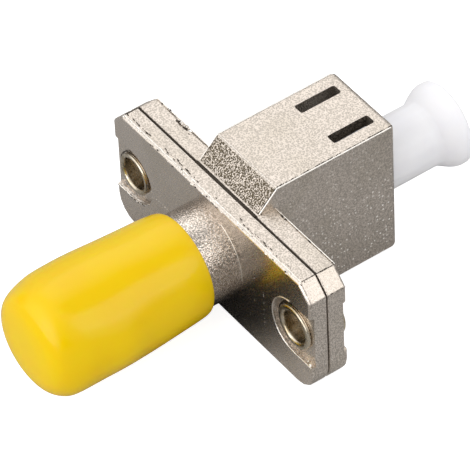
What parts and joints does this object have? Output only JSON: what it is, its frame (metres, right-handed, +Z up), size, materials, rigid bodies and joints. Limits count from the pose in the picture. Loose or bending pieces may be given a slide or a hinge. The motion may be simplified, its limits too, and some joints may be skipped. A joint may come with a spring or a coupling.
{
  "type": "ST to LC hybrid fibre adapter",
  "caption": "Die-cast flange adapter that joins a bayonet fibre connector to a small latching one, with eyelets, split sleeves, a yellow barrel cap and a white port plug.",
  "frame": {"origin": "on the flat underside, at mid width, in the plane of the flange's rear face", "axes": "+Y along the fibre axis towards the latching port, +X along the flange, +Z up towards the latch side; Y = 0 is the panel plane"},
  "size_m": [0.022, 0.0345, 0.0111],
  "materials": {
    "casting": "nickel-plated zinc die casting with a fine sand-blast grain",
    "eyelet": "plated brass, rolled and slightly burnished",
    "bush": "turned brass, nickel plated",
    "ceramic": "polished zirconia ceramic",
    "vinyl": "dip-moulded vinyl, satin gloss",
    "plug": "soft translucent polyethylene"
  },
  "bodies": {
    "adapter": {"st_housing": "casting", "lc_housing": "casting", "eyelet_left": "eyelet", "eyelet_right": "eyelet", "st_sleeve_bush": "bush", "lc_sleeve_bush": "bush", "sleeve_retainer": "bush", "st_split_sleeve": "ceramic", "lc_split_sleeve": "ceramic"},
    "cap": {"st_dust_cap": "vinyl"},
    "plug": {"lc_dust_plug": "plug"}
  },
  "joints": [
    {"name": "cap_pull_off", "type": "slide", "parent": "adapter", "child": "cap", "axis": [0, -1, 0], "range_m": [0, 0.014]},
    {"name": "plug_pull_out", "type": "slide", "parent": "adapter", "child": "plug", "axis": [0, 1, 0], "range_m": [0, 0.008]}
  ]
}
